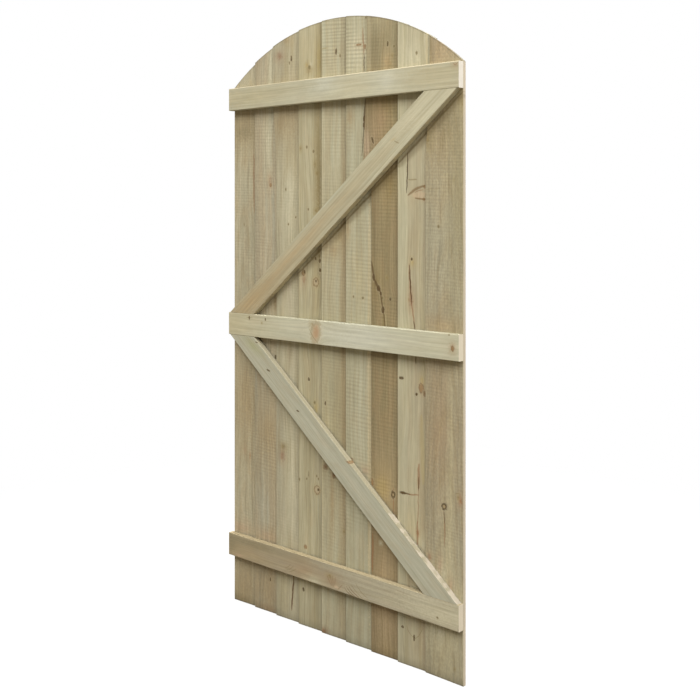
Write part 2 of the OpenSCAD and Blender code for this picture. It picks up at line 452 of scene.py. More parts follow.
def late_wood(tree, flow, pith, ring, taper):
    """How much of a place is late wood: bands at even distances from the pith, which tapers."""
    out = add(tree, VECTOR_MATH, [flow, (0, *pith)], "SUBTRACT")
    out = add(tree, VECTOR_MATH, [out, (0, 1, 1)], "MULTIPLY")
    out = add(tree, VECTOR_MATH, [out], "LENGTH")
    rise = add(tree, VECTOR_MATH, [flow, (taper, 0, 0)], "DOT_PRODUCT")
    out = add(tree, MATH, [out, rise], "ADD")
    fold = add(tree, MATH, [out, ring / 2], "PINGPONG")
    levels = [ring * share for share in LATE_SHARES]
    return add(tree, MAP_RANGE, {"Value": fold, **between(levels)}, **SMOOTH)


print("the finish of a piece is painted in layers")

# %% [markdown]
# The finish is built up in layers, from the wide to the fine. First come the bands of tone and the stains,
# then the late wood, the fibres, the torn flecks and the saw marks.
# Every pattern's size is given in millimetres along, across and into the wood.
# A noise seldom leaves the middle of its range,
# so two levels say where the pattern starts to show and where it is full.

# %% Sizes of the patterns
FIBRE_MM = (110.0, 3.0, 3.0)
STREAK_MM = (420.0, 6.5, 6.5)
BAND_MM = (700.0, 24.0, 24.0)
CLOUD_MM = (75.0, 26.0, 26.0)
WANDER_MM = (320.0, 90.0, 90.0)
FLECK_MM = (9.0, 4.0, 4.0)
MOTTLE_MM = (26.0, 12.0, 12.0)
SEED_STEPS_MM = (811.0, 137.0, 53.0)
FIBRE_LEVELS = (0.32, 0.68)
STREAK_LEVELS = (0.35, 0.65)
LINE_LEVELS = (0.35, 0.7)
BAND_LEVELS = (0.34, 0.66)
CLOUD_LEVELS = (0.46, 0.66)
FLECK_LEVELS = (0.40, 0.62)
MOTTLE_LEVELS = (0.30, 0.70)
SAW_LEVELS = (0.15, 0.95)
SAW_LIGHT = (0.6, -1.0)
STREAK_SHADE = 0.06
MOTTLE_SHADE = 0.03
FLECK_DARK = 0.7
FLECK_RISE = 0.8
SAP_FADE_MM = 40.0
BOLD_MM = (1635.0, 1645.0)
ROUGH_LEVELS = (0.3, 0.7)
print("fibres", FIBRE_MM[1], "mm wide, bands of tone", BAND_MM[1], "mm wide")

# %% [markdown]
# A board gets painted shade along its lap, next to the edge of the board that covers it.
# It is also darker along its rim, darker towards its foot, and darker still in the last few centimetres
# there.
# The bottom ledge and the lower brace get painted shade in a strip at their backs, where they meet the
# boards.
# A rail's upper edge gets painted light and shade: a tint for how the light falls there,
# paler on the top and bottom ledges and darker on the lower brace. A cut face has a tone of its own.
# Knots and splits come last, over all of it.

# %% The softwood material
KIND_PLACE = 4
COVER_MM = 93.0
JOINT_MM = 4.0
RAIL_MM = 70.0
SEAM_SHADE_MM = (15.5, 17.5)
RIM_MM = (1.0, 6.0)
RIM_SHADE = 0.72
FOOT_FADE_MM = (20.0, 170.0)
FOOT_DARKENING = 0.90
FOOT_EDGE_MM = 30.0
FOOT_EDGE_DARKENING = 0.78
END_FACING = (0.85, 0.98)
END_COVER = 0.75
ROUGHNESS = (0.74, 0.90)
SPECULAR = 0.25
BUMP_STRENGTH = 0.5
BUMP_HEIGHT = 0.4 * MM


def softwood(name, seed, main, second, late, pith, ring, taper, end_axis, line=0.35, fleck=0.0, saw=0.0,
             bold=1.0, cloud=0.12, warm="#a98e68", sway=40.0, fibres=0.10, end="#c9bc98", side=None,
             upper=None, seam_shade=1.0, sap=None, thin=None, lap_shade=None, joint=1.0, knots=(), streaks=()):
    """Treated softwood for one piece: its tones, rings, saw marks, edges, knots and streaks."""
    material = bpy.data.materials.new(name)
    material.use_nodes = True
    tree = material.node_tree
    put = partial(add, tree)
    shader = tree.nodes["Principled BSDF"]
    grain = put("ShaderNodeAttribute", attribute_name="grain").node.outputs["Vector"]
    steps = put(SEPARATE, [grain]).node.outputs
    stains = [knot for knot in knots if "rim" not in KNOT_KINDS[knot[KIND_PLACE]]]
    knots = [knot for knot in knots if knot not in stains]

    flow = grain
    for up, across, tall, wide, *kind in knots:
        flow = put("ShaderNodeGroup", {
            "Grain": flow, "Centre": (up, across, 0), "Reach": (tall, wide, THROUGH)}, node_tree=bend_round)
    own = put(VECTOR_MATH, [flow, [seed * step for step in SEED_STEPS_MM]], "ADD")
    wander = stretched(tree, own, WANDER_MM, 2.0)
    wander = put(MATH, [wander, sway, -sway / 2], "MULTIPLY_ADD")
    wander = put(COMBINE, {"Y": wander})
    own = put(VECTOR_MATH, [own, wander], "ADD")
    flow = put(VECTOR_MATH, [flow, wander], "ADD")

    fibre = stretched(tree, own, FIBRE_MM, 3.0)
    streak = stretched(tree, own, STREAK_MM, 2.0)
    band = stretched(tree, own, BAND_MM, 1.0)
    mottle = stretched(tree, own, MOTTLE_MM, 2.0)
    patch = stretched(tree, own, CLOUD_MM, 2.0)

    colour = tinted(tree, linear(main), second, band, *BAND_LEVELS, 1.0, "SMOOTHSTEP")
    colour = tinted(tree, colour, warm, patch, *CLOUD_LEVELS, cloud)
    if sap:
        tint, width, fade, strength, foot = sap
        pale = put(MAP_RANGE, {"Value": steps["Y"], "From Min": width + fade, "From Max": width,
                               "To Max": strength}, **SMOOTH)
        above = put(MAP_RANGE, {"Value": steps["X"], "From Min": foot, "From Max": foot + SAP_FADE_MM})
        pale = put(MATH, [pale, above], "MULTIPLY")
        colour = put(MIX, {"Factor": pale, "A": colour, "B": linear(tint)}, data_type="RGBA")
    colour = marked(tree, colour, grain, stains)
    # Painted light and shade: the upper edge is tinted for how the light falls on it.
    if upper:
        tint, strength, depth = upper
        colour = tinted(tree, colour, tint, steps["Y"], RAIL_MM - depth, RAIL_MM - depth / 2, strength)
    # Painted shade in a strip at the rail's back, where it meets the boards.
    if seam_shade < 1:
        colour = shaded(tree, colour, steps["Z"], *SEAM_SHADE_MM, 1.0, seam_shade)
    lines = put(MAP_RANGE, {"Value": streak, **between(LINE_LEVELS), "To Max": line})
    rings = late_wood(tree, flow, pith, ring, taper)
    lines = put(MATH, [rings, lines], "MULTIPLY")
    colour = put(MIX, {"Factor": lines, "A": colour, "B": linear(late)}, data_type="RGBA")
    colour = shaded(tree, colour, streak, *STREAK_LEVELS, 1 + STREAK_SHADE, 1 - STREAK_SHADE)
    colour = shaded(tree, colour, fibre, *FIBRE_LEVELS, 1 + fibres, 1 - fibres)
    colour = shaded(tree, colour, mottle, *MOTTLE_LEVELS, 1 + MOTTLE_SHADE, 1 - MOTTLE_SHADE)
    height = fibre
    if fleck:
        torn = stretched(tree, own, FLECK_MM, 2.0)
        colour = shaded(tree, colour, torn, *FLECK_LEVELS, 1 - FLECK_DARK * fleck, 1 + fleck)
        height = put(MATH, [torn, FLECK_RISE, fibre], "MULTIPLY_ADD")
    if saw:
        marks = put("ShaderNodeAttribute", attribute_name="saw").node.outputs["Fac"]
        boost = put(MAP_RANGE, {
            "Value": steps["X"], **between(BOLD_MM), "To Min": saw, "To Max": saw * bold})
        marks = put(MAP_RANGE, {
            "Value": marks, **between(SAW_LEVELS), "To Min": SAW_LIGHT[0], "To Max": SAW_LIGHT[1]}, **SMOOTH)
        marks = put(MATH, [marks, boost, 1.0], "MULTIPLY_ADD")
        colour = put(VECTOR_MATH, {0: colour, "Scale": marks}, "SCALE")
    if thin:
        colour = shaded(tree, colour, steps["Y"], 0.0, thin[1], thin[0], 1.0, "SMOOTHSTEP")
    if lap_shade:
        # Painted shade along the lap, beside the edge of the board that covers it.
        colour = shaded(tree, colour, steps["Y"], COVER_MM - lap_shade[1], COVER_MM, 1.0, lap_shade[0], "SMOOTHSTEP")
        colour = shaded(tree, colour, steps["Y"], COVER_MM - JOINT_MM, COVER_MM, 1.0, joint)
        rim = put("ShaderNodeAttribute", attribute_name="rim").node.outputs["Fac"]
        colour = shaded(tree, colour, rim, *RIM_MM, RIM_SHADE, 1.0, "SMOOTHSTEP")
        # Darker towards the foot, and darker still in its last few centimetres.
        colour = shaded(tree, colour, steps["X"], *FOOT_FADE_MM, FOOT_DARKENING, 1.0, "SMOOTHSTEP")
        colour = shaded(tree, colour, steps["X"], 0.0, FOOT_EDGE_MM, FOOT_EDGE_DARKENING, 1.0, "SMOOTHSTEP")

    facing = put("ShaderNodeNewGeometry").node.outputs["True Normal"]
    for axis, pale in ((end_axis, end), ((1, 0, 0), side)):
        if pale:
            turned = put(VECTOR_MATH, [facing, axis], "DOT_PRODUCT")
            turned = put(MATH, [turned], "ABSOLUTE")
            colour = tinted(tree, colour, pale, turned, *END_FACING, END_COVER)

    colour = marked(tree, colour, grain, knots, streaks)
    tree.links.new(colour, shader.inputs["Base Color"])
    rough = put(MAP_RANGE, {
        "Value": fibre, **between(ROUGH_LEVELS), "To Min": ROUGHNESS[0], "To Max": ROUGHNESS[1]})
    tree.links.new(rough, shader.inputs["Roughness"])
    shader.inputs["Specular IOR Level"].default_value = SPECULAR
    bump = put("ShaderNodeBump", {"Strength": BUMP_STRENGTH, "Distance": BUMP_HEIGHT, "Height": height})
    tree.links.new(bump, shader.inputs["Normal"])
    return material


print("joint lines", JOINT_MM, "mm wide, boards covered from", COVER_MM, "mm")

# %% [markdown]
# ## The boards' looks
# No two boards come from the same tree, so each has its own tones, rings, saw marks, knots and splits.
# A knot is written as its height above the foot of the gate, its distance from the board's thin edge,
# its half height and half width, all in millimetres,
# then its kind and, if it lies askew, its turn in degrees.
# A streak is written as the height and distance of its start, then of its end,
# its width, its kind and its bow.
# The tone of the thin edge, and the painted shade of the lap, are each a share of the board's colour
# and the width over which it fades.
# Under the upper brace a painted shadow lies on the boards:
# a dark line with a wider, fainter one below it follows the brace's lower edge.
# It shows from the fourth board on, and its slant is the brace's own.

# %% What each board looks like
BOARD_LOOKS = [
    dict(main="#aea68b", second="#a49d83", late="#8b7852", pith=(45, -60), ring=9, taper=0.05, fleck=0.06,
         saw=0.06, pitch=9, lap_shade=(0.94, 26), joint=0.88, cloud=0.18,
         knots=[(1196, 43, 7, 2, "pin"), (468, 69, 13, 4, "rust"), (4, 30, 30, 60, "shade"),
                (482, 46, 14, 9, "blush"), (640, 50, 150, 60, "tan"), (235, 30, 22, 50, "blush"),
                # The tan and mould marks at 1500 and 1488 mm are partly the board's darker tone and partly
                # painted shade under the top ledge.
                (1500, 42, 75, 75, "tan"), (1488, 46, 34, 60, "mould"), (60, 45, 90, 70, "tan"),
                (10, 4, 34, 16, "mould")],
         streaks=[(1420, 86, 1230, 87, 6.0, "rust")]),
    dict(main="#aa9f84", second="#a39e88", late="#978562", pith=(150, -30), ring=10, taper=0.02, fleck=0.06,
         saw=0.07, pitch=10, thin=(0.88, 45), lap_shade=(0.96, 26), joint=0.90,
         knots=[(1332, 64, 28, 12, "russet"), (1319, 67, 6, 4, "live"), (1440, 58, 90, 14, "cream"),
                (1690, 67, 80, 9, "cream"), (101, 66, 6, 2, "dead"), (550, 50, 110, 60, "tan"),
                (232, 55, 22, 50, "blush"), (790, 88, 6, 4, "dead"), (70, 50, 110, 70, "tan"),
                # The shade mark at 836 mm is painted shadow under the left end of the middle ledge.
                (8, 55, 9, 40, "clay"), (836, 10, 16, 14, "shade"), (953, 87, 30, 10, "tan")],
         streaks=[(275, 57, 235, 64, 2.0, "olive"), (264, 74, 236, 71, 2.0, "olive")]),
    dict(main="#b1aa90", second="#aaa387", late="#988760", pith=(60, -160), ring=9, taper=0.03, fleck=0.03,
         saw=0.04, pitch=9, thin=(0.86, 60), lap_shade=(0.92, 30), joint=0.86,
         knots=[(1701, 62, 9, 3, "dead"), (1688, 54, 5, 3, "pin"), (1712, 14, 18, 18, "russet"),
                (1735, 66, 60, 9, "straw"), (1758, 43, 20, 18, "tan"), (1500, 17, 30, 16, "tan"),
                (80, 30, 110, 38, "straw"), (1510, 48, 110, 70, "tan"), (1305, 39, 5, 3, "pin"),
                (1199, 50, 4, 3, "pin"), (1220, 80, 4, 3, "pin"), (1290, 50, 130, 40, "cream"),
                (470, 62, 150, 18, "cream"), (494, 26, 22, 14, "russet"), (522, 28, 12, 14, "shade")],
         streaks=[(142, 73, 28, 63, 7.0, "rust"), (138, 73, 30, 63, 4.2, "split")]),
    dict(main="#afa88b", second="#a59d7f", late="#988a5e", pith=(-40, -20), ring=8, taper=0.01, line=0.5,
         pitch=8, lap_shade=(0.84, 34), joint=0.78,
         knots=[(1700, 32, 80, 34, "straw"), (1690, 82, 80, 13, "gold"), (1330, 80, 320, 15, "shade"),
                (1662, 42, 16, 13, "shade"), (1676, 50, 7, 6, "cream"), (1674, 34, 9, 7, "gold"),
                (1667, 43, 6, 5, "pin"), (1430, 33, 5, 4, "pin"), (1416, 60, 5, 5, "pin"),
                (1426, 8, 10, 6, "shade"), (1376, 65, 14, 7, "shade"), (1350, 74, 8, 7, "shade"),
                (1244, 39, 4, 3, "pin"), (1240, 69, 8, 8, "shade"), (1122, 79, 8, 6, "shade"),
                (1105, 82, 6, 3, "pin"), (1092, 84, 6, 4, "dead"), (1098, 68, 5, 3, "dead"),
                (1064, 85, 6, 4, "dead"), (1100, 53, 4, 3, "pin"), (1054, 20, 9, 7, "live"),
                (1057, 24, 5, 3, "dead"), (1034, 22, 20, 10, "russet"), (1028, 69, 13, 11, "eye"),
                (1031, 69, 4, 3, "dead"), (738, 41, 5, 4, "dead"), (671, 64, 6, 4, "pin"),
                (656, 70, 18, 9, "gold"), (414, 74, 13, 11, "eye"), (415, 78, 4, 4, "dead"),
                (440, 33, 4, 3, "pin"), (456, 41, 9, 2, "pin"), (434, 4, 5, 3, "pin"),
                (455, 72, 4, 3, "pin"), (447, 79, 4, 3, "pin"), (236, 28, 6, 6, "live"),
                (107, 20, 6, 4, "dead")],
         streaks=[(1656, 40, 1636, 40, 2.2, "olive")]),
    dict(main="#b0ac91", second="#aba386", late="#988862", pith=(70, -90), ring=11, taper=0.02, fleck=0.03,
         saw=0.055, pitch=10, bold=2.2, fibres=0.07, thin=(1.08, 9), lap_shade=(0.86, 34), joint=0.86,
         knots=[(1702, 55, 10, 3, "dead"), (1689, 70, 6, 3, "pin"), (1716, 10, 2, 11, "shade"),
                # The shade mark at 1166 mm is painted shadow below the upper brace.
                (1166, 70, 24, 20, "shade"), (1126, 43, 26, 24, "tan"), (640, 45, 230, 80, "dusk"),
                (550, 86, 520, 14, "tan"), (1200, 86, 300, 14, "tan"), (395, 41, 110, 9, "tan"),
                (675, 14, 6, 3, "dead"), (489, 15, 9, 8, "brown"), (469, 47, 9, 7, "brown"),
                (313, 85, 6, 5, "shade"), (8, 10, 10, 16, "russet"), (6, 9, 5, 10, "rust"),
                (620, 26, 60, 22, "straw")],
         # A painted shadow line below the upper brace.
         streaks=[(1178, 60, 1208, 90, 8.0, "damp")]),
    dict(main="#aca88e", second="#a49f84", late="#a29069", pith=(160, -60), ring=12, taper=0.01, fleck=0.03,
         saw=0.085, pitch=11, bold=1.7, fibres=0.07, thin=(0.96, 30), lap_shade=(1.0, 10),
         knots=[(1500, 67, 9, 4, "dead"), (1483, 66, 7, 4, "dead"), (1712, 47, 3, 9, "live"),
                (1708, 50, 16, 22, "blush"), (1705, 70, 6, 4, "live"), (1787, 73, 4, 3, "pin"),
                (1690, 50, 90, 60, "cream"), (700, 86, 620, 8, "sap"), (1050, 48, 90, 36, "straw"),
                (1188, 6, 40, 9, "tan"), (1268, 33, 36, 20, "straw"), (1507, 14, 30, 14, "tan"),
                (994, 28, 4, 3, "pin"), (992, 62, 4, 4, "pin"), (524, 21, 8, 6, "live"),
                (505, 71, 14, 14, "blush")],
         streaks=[(1760, 62, 1680, 66, 5.0, "rust"), (1684, 67, 1634, 67, 3.5, "split"),
                  (1558, 72, 1468, 66, 8.0, "bark"), (1482, 66, 1395, 59, 3.0, "bark"),
                  (1262, 40, 1296, 66, 8.0, "pale")]),
    dict(main="#928463", second="#8b7e5d", late="#7d6842", pith=(100, -40), ring=9, taper=0.02, fleck=0.04,
         saw=0.08, pitch=10, cloud=0.22, warm="#9f8460", fibres=0.07, sap=("#b5a886", -3.0, 5.0, 0.8, 1600),
         thin=(0.84, 45), lap_shade=(0.88, 28), joint=0.80,
         knots=[(1720, 22, 110, 40, "dusk"), (1710, 82, 110, 12, "dusk"), (1703, 58, 7, 3, "dead"),
                (1694, 80, 4, 3, "pin"), (1668, 74, 9, 6, "shade"), (1645, 68, 12, 5, "shade"),
                (1655, 56, 24, 14, "amber"), (1310, 68, 50, 26, "shade"), (10, 54, 34, 40, "shade"),
                (1778, 20, 30, 24, "straw"), (1438, 5, 9, 3, "dead", 20), (1530, 40, 60, 60, "shade"),
                (1455, 10, 75, 26, "fawn"), (1424, -18, 55, 16, "flesh"), (1490, 36, 40, 24, "clay"),
                (1035, 18, 50, 16, "shade"), (1053, 8, 9, 4, "dead"), (1022, 26, 8, 6, "dead"),
                (1008, 34, 5, 4, "dead"), (996, 39, 4, 4, "pin"), (994, 67, 4, 3, "dead"),
                (963, 42, 9, 5, "dead"), (1053, 55, 6, 5, "shade"), (930, 44, 40, 4, "shade"),
                (470, 45, 90, 40, "tan"), (454, 77, 10, 7, "dead"), (454, 77, 5, 3, "core"),
                (468, 40, 46, 36, "gold"), (477, 3, 10, 6, "live"), (150, 45, 220, 75, "fawn"),
                (312, 34, 6, 6, "cream")],
         streaks=[(1100, 0, 1040, 14, 7.0, "bark"), (1050, 10, 1008, 34, 9.0, "bark"),
                  (1012, 32, 955, 44, 5.0, "bark"), (970, 42, 900, 51, 3.6, "bark"),
                  (960, 49, 905, 54, 2.6, "pale"), (475, 77, 462, 77, 2.4, "rust"),
                  (446, 77, 400, 80, 3.4, "rust"), (335, 6, 225, 4, 8.0, "rust")]),
    dict(main="#aea78a", second="#a89f84", late="#9a8a5e", pith=(55, -200), ring=9, taper=0.01, pitch=8,
         sap=("#b5b296", 32.0, 3.0, 0.38, -100), thin=(1.08, 6), lap_shade=(0.94, 24), joint=0.97,
         knots=[(1660, 50, 60, 60, "cream"), (1690, 92, 80, 9, "cream"), (1667, 64, 5, 4, "pin"),
                (1282, 74, 12, 30, "flesh"), (1304, 91, 5, 4, "live"), (1270, 89, 4, 5, "live"),
                (1099, 50, 12, 9, "gold"), (1108, 48, 4, 3, "dead"), (997, 38, 5, 3, "shade"),
                (998, 46, 28, 11, "russet"), (781, 13, 4, 8, "dead"), (780, 82, 18, 9, "gold"),
                (760, 80, 13, 9, "live"), (746, 91, 8, 5, "brown"), (742, 64, 4, 4, "dead"),
                (467, 17, 4, 11, "dead"), (310, 84, 240, 13, "clay"), (390, 48, 60, 34, "straw"),
                (350, 76, 26, 12, "straw"), (338, 86, 22, 10, "cream"), (368, 68, 10, 6, "rust"),
                (100, 17, 4, 4, "dead"), (80, 56, 9, 3, "dead")],
         streaks=[(1398, 34, 1286, 31, 4.6, "split"), (1324, 36, 1323, 66, 4.6, "olive"),
                  (1281, 34, 1307, 93, 9.0, "branch", 4), (1288, 58, 1295, 88, 2.6, "rust", 2),
                  (1273, 58, 1269, 93, 6.0, "branch"), (1096, 39, 984, 47, 7.5, "rust"),
                  (1092, 40, 980, 48, 4.2, "split"), (990, 47, 920, 59, 5.0, "rust"),
                  (940, 55, 914, 59, 3.4, "split"), (847, 62, 822, 62, 3.6, "split"),
                  (400, 68, 320, 66, 6.0, "rust"), (1630, 98, 1742, 98, 9.0, "cream"),
                  (467, 16, 468, 44, 5.0, "bark"), (467, 38, 470, 73, 4.6, "rust"),
                  (556, 72, 486, 71, 9.0, "rust"), (520, 72, 480, 71, 3.6, "bark"),
                  (486, 71, 380, 68, 3.6, "fan"), (690, 80, 500, 86, 16.0, "gold"),
                  (80, 56, 108, 30, 2.2, "olive", 5), (76, 56, 116, 84, 2.2, "olive", -5)]),
    dict(main="#a69f85", second="#9d967d", late="#8f7d56", pith=(70, -70), ring=9, taper=0.06, fleck=0.08,
         saw=0.06, pitch=9, cloud=0.15, side="#ddd1bc", thin=(0.92, 55), lap_shade=(1.0, 10),
         knots=[(1197, 44, 5, 4, "pin"), (650, 50, 210, 55, "clay"), (560, 85, 300, 9, "straw"),
                (936, 70, 18, 60, "fawn"), (300, 72, 150, 18, "straw"), (80, 55, 170, 70, "straw"),
                (1450, 60, 130, 75, "tan"), (1480, 60, 60, 75, "mould"), (1670, 50, 80, 70, "fawn"),
                (457, 63, 9, 9, "dead"), (457, 63, 5, 5, "core"), (484, 115, 20, 8, "russet"),
                (481, 117, 9, 4, "rust"), (489, 108, 8, 4, "shade"), (1319, 95, 6, 4, "shade"),
                (314, 14, 12, 8, "russet"), (300, 49, 26, 9, "blush"), (270, 63, 26, 10, "cream"),
                # The shade marks at 1532 and 1521 mm by the thick edge are painted shade beside the upper
                # brace's end.
                (252, 84, 24, 10, "blush"), (236, 112, 24, 12, "straw"), (1532, 116, 18, 10, "shade"),
                (1432, 5, 28, 16, "shade"), (1521, 122, 24, 10, "shade"), (1270, 108, 300, 30, "dusk"),
                (37, 97, 5, 4, "shade"), (126, 42, 34, 34, "cream")],
         streaks=[(350, 65, 446, 63, 3.4, "rust"), (412, 64, 446, 63, 3.0, "bark"),
                  (1630, 18, 1730, 18, 4.0, "olive"), (466, 63, 486, 63, 1.8, "olive"),
                  (497, 98, 499, 113, 2.2, "olive"), (1297, 1, 1298, 50, 2.0, "olive")]),
]
rail_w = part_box("top_ledge")[1].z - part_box("top_ledge")[0].z


def brace_slant(name):
    """The slant of a brace's edges: its box's diagonal, and the turn that its own width takes up."""
    low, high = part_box(name)
    tall = high.z - low.z
    reach = high.x - low.x
    return math.atan2(tall, reach) + math.asin(rail_w / math.hypot(tall, reach))


# Painted shadow under the upper brace: from the fourth board on, a dark line and a wider, fainter band follow
# the brace's lower edge.
FIRST_BRACE_SHADOW_BOARD = 4
BRACE_SHADOW_LINES = ((20.0, 30.0, "dim"), (12.0, 7.0, "damp"))
BOARD_MM = 125.0
brace_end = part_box("upper_brace")[1] / MM
climb = math.tan(brace_slant("upper_brace"))
board_woods = []
for number, look in enumerate(BOARD_LOOKS, start=1):
    finish = {key: value for key, value in look.items() if key != "pitch"}
    if number >= FIRST_BRACE_SHADOW_BOARD:
        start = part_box(f"board_{number}")[0].x / MM
        near = brace_end.z - (brace_end.x - start) * climb
        far = near + BOARD_MM * climb
        damp = [(near - below, 0, far - below, BOARD_MM, wide, kind) for below, wide, kind in BRACE_SHADOW_LINES]
        finish["streaks"] = damp + finish.get("streaks", [])
    name = f"sawn treated softwood {number}"
    board_woods.append(softwood(name, number, end_axis=(0, 0, 1), end="#9a9074", **finish))
print("board finishes", len(board_woods), "knots", sum(len(look["knots"]) for look in BOARD_LOOKS))

# %% [markdown]
# ## Sawn featheredge boards
# A featheredge board is a wedge in section: one plank is sawn in two on a slant,
# which leaves a thin edge and a thick one.
# Nine of them overlap, so all but the last lean a little, and the arch is cut across them all.
# A plain lattice of points is pushed into that shape by a Geometry Nodes tree:
# the share across the board gives the wedge,
# the share along it gives level rows that fan out to the arch at the top,
# and a wave that fades in and out sinks the saw marks.
# The outermost columns lie close to the edge and drop half a millimetre,
# so that the arris is softened as on a real board.
# Three thin edges wander near the top: more wood was left on two of them, and less on the third.

# %% The board tree
COLUMNS = 15
ROWS = 1100
LEVEL_TO = 1.55
ARRIS = 1.2 * MM
ARRIS_DROP = 0.5 * MM
SAW_SLANT = 0.05
NEARLY_LEVEL = (1, 0.12, 0)
SAW_WANDER_SCALE = 18.0
SAW_WANDER = 12.0
SAW_FADE_SCALE = 9.0
SAW_FADE_LEVELS = (0.36, 0.64)
SMOOTH_FOOT = (0.12, 0.34)
FOOT_SAW = 0.15
WANDER_BEGINS = (1.31, 1.37)
WANDER_RUN = (1.38, 1.60)


def conclude(tree, solid, finish, label):
    """Ends a tree: sharp faces, nothing left as an instance, and one finish."""
    solid = add(tree, "GeometryNodeSetShadeSmooth", {"Geometry": solid, "Shade Smooth": False})
    solid = add(tree, "GeometryNodeRealizeInstances", {"Geometry": solid})
    solid = add(tree, "GeometryNodeSetMaterial", {"Geometry": solid, "Material": finish})
    add(tree, "NodeGroupOutput", {label: solid})


board_tree, given = begin(
    "sawn featheredge board", "GeometryNodeTree",
    {"Foot": VECTOR, "Across": VECTOR, "Into": VECTOR, "Width": FLOAT, "Thin edge": FLOAT,
     "Thick edge": FLOAT, "Arch radius": FLOAT, "Arch centre": FLOAT, "Saw pitch": FLOAT, "Saw depth": FLOAT,
     "Edge at brace": FLOAT, "Edge at top": FLOAT, "Seed": FLOAT, "Finish": "NodeSocketMaterial"},
    ("Board", "NodeSocketGeometry"))
put = partial(add, board_tree)
board_tree.is_modifier = True
lattice = put("GeometryNodeMeshCube",
              {"Size": (1, 1, 1), "Vertices X": COLUMNS, "Vertices Y": 2, "Vertices Z": ROWS})
shares = put(VECTOR_MATH, [put("GeometryNodeInputPosition"), (0.5, 0.5, 0.5)], "ADD")
shares = put(SEPARATE, [shares]).node.outputs
step = 1 / (COLUMNS - 1)
edge_share = put(MATH, [ARRIS, given["Width"]], "DIVIDE")
far_share = put(MATH, [1.0, edge_share], "SUBTRACT")
share = put(MAP_RANGE, {"Value": shares["X"], "From Min": step, "From Max": 1 - step, "To Min": edge_share,
                        "To Max": far_share}, clamp=False)
share = put("ShaderNodeClamp", {"Value": share, "Min": 0.0, "Max": 1.0})
to_middle = put(MATH, [shares["X"], 0.5], "SUBTRACT")
to_middle = put(MATH, [to_middle], "ABSOLUTE")
on_edge = put(MATH, [to_middle, 0.5 - step / 2], "GREATER_THAN")

height = put(MATH, [shares["Z"], cad_high.z], "MULTIPLY")
spread = put(MAP_RANGE, {"Value": height, **between(WANDER_BEGINS)}, **SMOOTH)
narrow = put(MAP_RANGE, {
    "Value": height, **between(WANDER_RUN), "To Min": given["Edge at brace"], "To Max": given["Edge at top"]})
spread = put(MATH, [spread, narrow], "MULTIPLY")
thin_side = put(MATH, [1.0, share], "SUBTRACT")
thin_side = put(MATH, [thin_side, 2.0], "POWER")
spread = put(MATH, [spread, thin_side], "MULTIPLY")
across = put(MATH, [share, given["Width"]], "MULTIPLY")
across = put(MATH, [across, spread], "SUBTRACT")

run = put(VECTOR_MATH, {0: given["Across"], "Scale": across}, "SCALE")
run = put(VECTOR_MATH, [given["Foot"], run], "ADD")
reach = put(SEPARATE, [run]).node.outputs["X"]
reach = put(MATH, [reach, reach], "MULTIPLY")
radius = put(MATH, [given["Arch radius"], given["Arch radius"]], "MULTIPLY")
top = put(MATH, [radius, reach], "SUBTRACT")
top = put(MATH, [top], "SQRT")
top = put(MATH, [top, given["Arch centre"]], "ADD")
below = put(MATH, [height, LEVEL_TO], "MINIMUM")
fan = put(MAP_RANGE, {"Value": height, "From Min": LEVEL_TO, "From Max": cad_high.z})
above = put(MATH, [top, LEVEL_TO], "SUBTRACT")
up = put(MATH, [fan, above, below], "MULTIPLY_ADD")

spot = put(COMBINE, {"X": up, "Y": across})
level = put(VECTOR_MATH, [spot, NEARLY_LEVEL], "MULTIPLY")
loose = put(NOISE, {"Vector": level, "W": given["Seed"], "Scale": SAW_WANDER_SCALE, "Detail": 2.0},
            noise_dimensions="4D")
loose = put(MATH, [loose, SAW_WANDER], "MULTIPLY")
slanted = put(MATH, [across, SAW_SLANT, up], "MULTIPLY_ADD")
turns = put(MATH, [slanted, given["Saw pitch"]], "DIVIDE")
turns = put(MATH, [turns, math.tau, loose], "MULTIPLY_ADD")
wave = put(MATH, [turns], "SINE")
wave = put(MATH, [wave, 0.5, 0.5], "MULTIPLY_ADD")
fade = put(NOISE, {"Vector": spot, "W": given["Seed"], "Scale": SAW_FADE_SCALE, "Detail": 2.0},
           noise_dimensions="4D")
fade = put(MAP_RANGE, {"Value": fade, **between(SAW_FADE_LEVELS)}, **SMOOTH)
clear = put(MAP_RANGE, {"Value": up, **between(SMOOTH_FOOT), "To Min": FOOT_SAW})
fade = put(MATH, [fade, clear], "MULTIPLY")
flat = put(MATH, [wave, 0.5], "SUBTRACT")
saw = put(MATH, [flat, fade, 0.5], "MULTIPLY_ADD")

slope = put(MATH, [given["Thick edge"], given["Thin edge"]], "SUBTRACT")
slope = put(MATH, [slope, given["Width"]], "DIVIDE")
thick = put(MATH, [slope, across, given["Thin edge"]], "MULTIPLY_ADD")
sunk = put(MATH, [saw, given["Saw depth"]], "MULTIPLY")
sunk = put(MATH, [on_edge, ARRIS_DROP, sunk], "MULTIPLY_ADD")
side_of = put(MATH, [shares["Y"], -2.0, 1.0], "MULTIPLY_ADD")
depth = put(MATH, [shares["Y"], thick], "MULTIPLY")
depth = put(MATH, [sunk, side_of, depth], "MULTIPLY_ADD")

